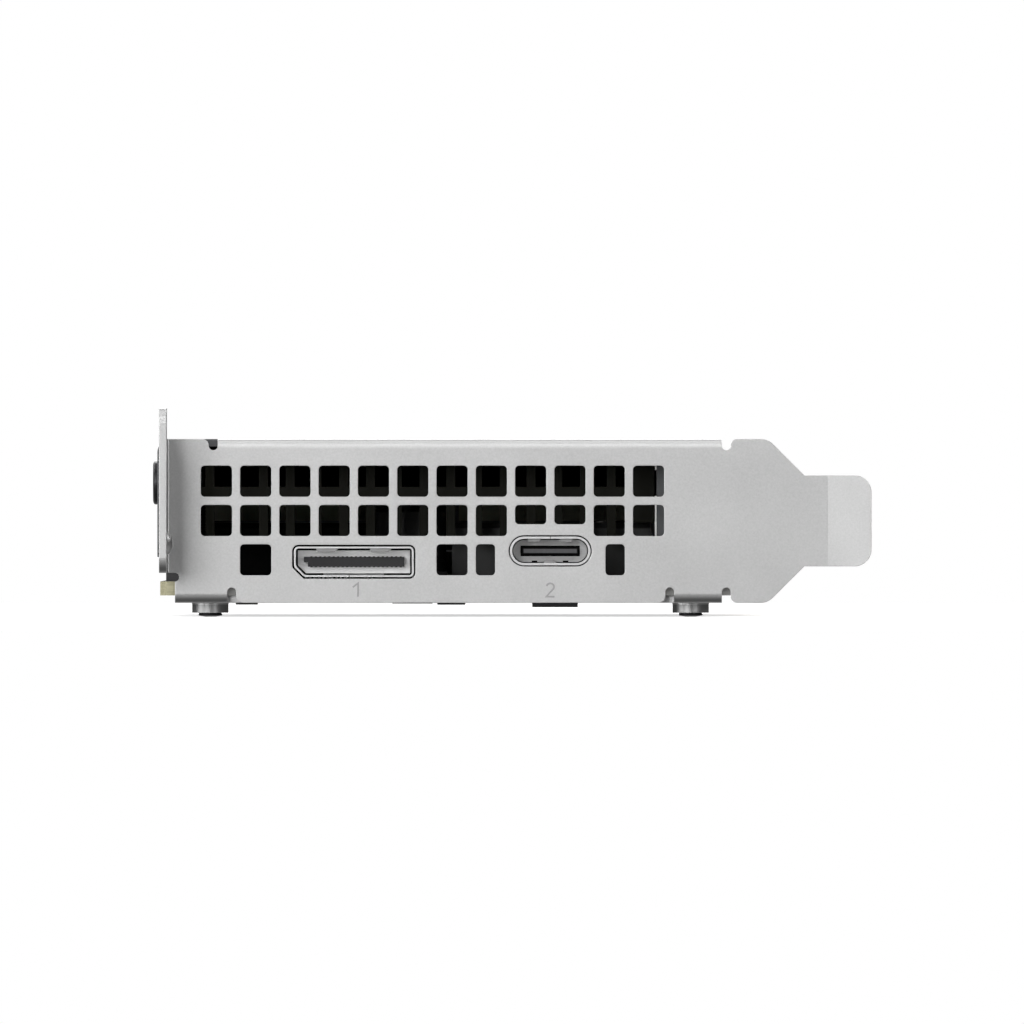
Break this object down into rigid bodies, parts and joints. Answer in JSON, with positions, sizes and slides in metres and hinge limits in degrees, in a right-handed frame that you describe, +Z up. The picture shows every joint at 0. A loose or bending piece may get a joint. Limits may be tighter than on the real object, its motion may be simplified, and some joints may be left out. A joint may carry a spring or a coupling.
{
  "type": "nvme adapter card",
  "caption": "Low-profile expansion card that holds solid-state drive modules under a finned, covered heat sink, with a vented slot bracket, cable ports and a gold edge connector.",
  "frame": {"origin": "under the middle of the card's box, on the surface that the card lies on", "axes": "+X from the bracket's screw tab towards its tongue and the edge connector, +Y from the bracket back along the board, +Z up from the board towards the cover"},
  "size_m": [0.0806, 0.1454, 0.0234],
  "materials": {
    "plated_steel": "matte nickel-plated sheet",
    "black_screw_steel": "black oxide",
    "board_laminate": "black solder mask over glass laminate",
    "contact_gold": "hard gold plate",
    "anodised_aluminium": "black anodised extrusion",
    "cover_paint": "dark grey fine-texture powder coat",
    "spacer_brass": "turned",
    "port_steel": "bright nickel plate",
    "port_plastic": "moulded, satin",
    "socket_plastic": "moulded, glass filled",
    "pad_silicone": "soft thermal pad",
    "can_sleeve": "dark lacquered can",
    "chip_epoxy": "moulded package",
    "inductor_ferrite": "pressed metal powder",
    "ceramic": "fired ceramic with tinned ends"
  },
  "bodies": {
    "root": {"slot_bracket": "plated_steel", "bracket_screws": "black_screw_steel", "circuit_board": "board_laminate", "edge_contacts": "contact_gold", "heat_sink": "anodised_aluminium", "cover": "cover_paint", "cover_screws": "black_screw_steel", "heat_sink_standoffs": "spacer_brass", "heat_sink_screws": "black_screw_steel", "link_port_shell": "port_steel", "link_port_back_plate": "port_steel", "link_port_tongue": "port_plastic", "link_port_contacts": "contact_gold", "type_c_port_shell": "port_steel", "type_c_port_back_plate": "port_steel", "type_c_port_tongue": "port_plastic", "type_c_port_contacts": "contact_gold", "type_c_port_riser": "port_plastic", "left_drive_socket": "socket_plastic", "right_drive_socket": "socket_plastic", "drive_standoffs": "spacer_brass", "drive_screws": "black_screw_steel", "left_thermal_pad": "pad_silicone", "right_thermal_pad": "pad_silicone", "capacitor_base": "port_plastic", "capacitor_can": "can_sleeve", "flash_chip": "chip_epoxy", "regulator_chip": "chip_epoxy", "power_switch_chip": "chip_epoxy", "filter_capacitor": "ceramic", "port_controller_chip": "chip_epoxy", "clock_chip": "chip_epoxy", "converter_chip": "chip_epoxy", "power_inductor": "inductor_ferrite", "tantalum_capacitor": "chip_epoxy", "coupling_capacitors": "ceramic"}
  },
  "joints": []
}
